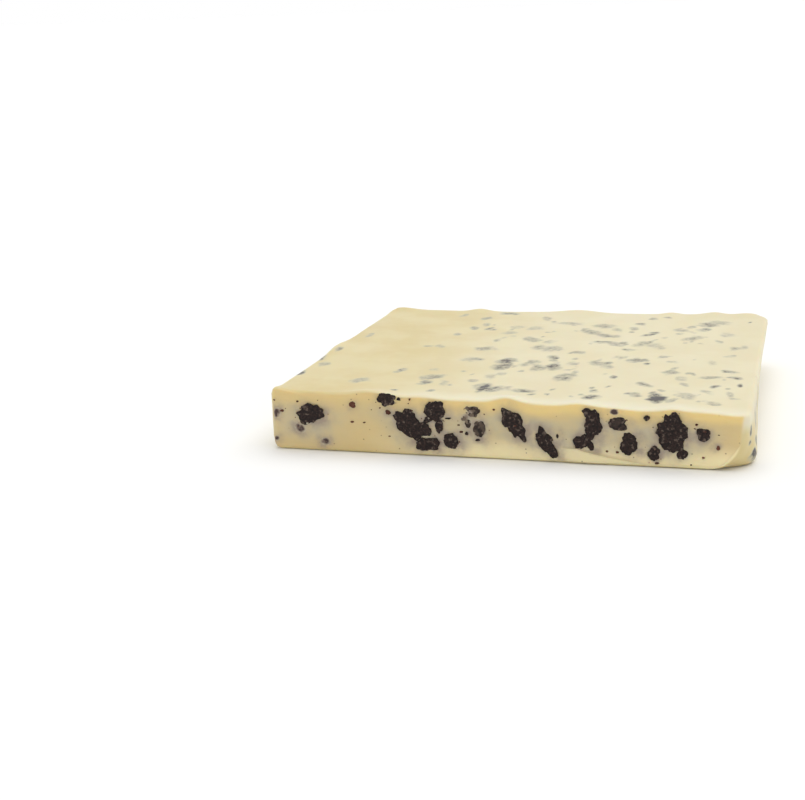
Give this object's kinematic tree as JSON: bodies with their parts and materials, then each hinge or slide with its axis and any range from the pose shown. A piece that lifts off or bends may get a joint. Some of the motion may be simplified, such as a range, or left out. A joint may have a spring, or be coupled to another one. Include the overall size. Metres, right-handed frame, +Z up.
{
  "type": "chocolate bar",
  "caption": "Flat square slab of white chocolate with crushed dark wafer biscuit through it, cut clean along its front and rounded under at its moulded walls.",
  "frame": {"origin": "middle of the slab's outline, in the plane of the underside that it rests on", "axes": "+X along the cut front face to the right, +Y from the front face towards the back wall, +Z up out of the poured top"},
  "size_m": [0.102, 0.0944, 0.0137],
  "materials": {
    "white_chocolate": "pale yellow white chocolate, smooth and faintly waxy, speckled with dark brown wafer bits that lie open in the cut face and show grey through the poured top"
  },
  "bodies": {
    "root": {"bar": "white_chocolate"}
  },
  "joints": []
}
